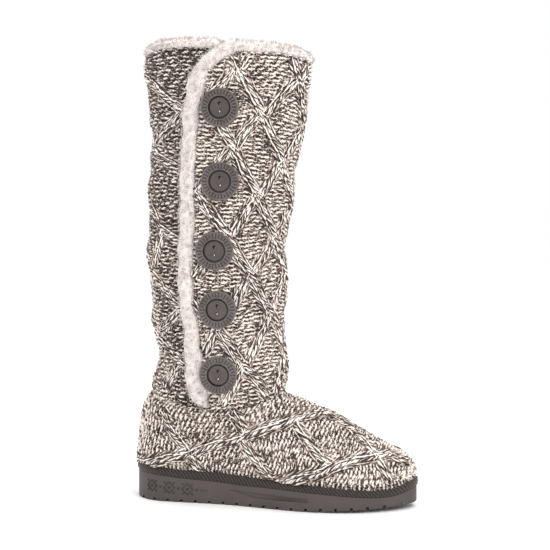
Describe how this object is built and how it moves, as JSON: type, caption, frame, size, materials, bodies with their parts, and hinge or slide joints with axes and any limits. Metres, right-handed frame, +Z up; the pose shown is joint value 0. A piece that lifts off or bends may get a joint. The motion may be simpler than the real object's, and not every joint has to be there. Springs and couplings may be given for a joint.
{
  "type": "slouch boot",
  "caption": "Knitted slouch boot with a buttoned side flap, fleece edging, taped joint and a notched wedge sole.",
  "frame": {"origin": "middle of the heel's ground contact, on the floor plane, 38 mm ahead of the sole's back", "axes": "+X towards the toe, +Y towards the inner side of the foot, -Y the outer side with the buttons, +Z up"},
  "size_m": [0.2781, 0.1197, 0.4406],
  "materials": {
    "outsole": "matt foamed rubber, taupe grey",
    "tape": "woven twill tape, dark brown",
    "insole": "napped fleece on a soft board",
    "knit": "chunky purl and cable knit in a cream and brown marled yarn",
    "fleece": "deep curly pile, warm white",
    "button": "satin gunmetal brown"
  },
  "bodies": {
    "root": {"outsole": "outsole", "rand_tape": "tape", "insole": "insole", "foot_upper": "knit", "shaft": "knit", "fur_edging": "fleece", "button_1": "button", "button_2": "button", "button_3": "button", "button_4": "button", "button_5": "button"}
  },
  "joints": []
}
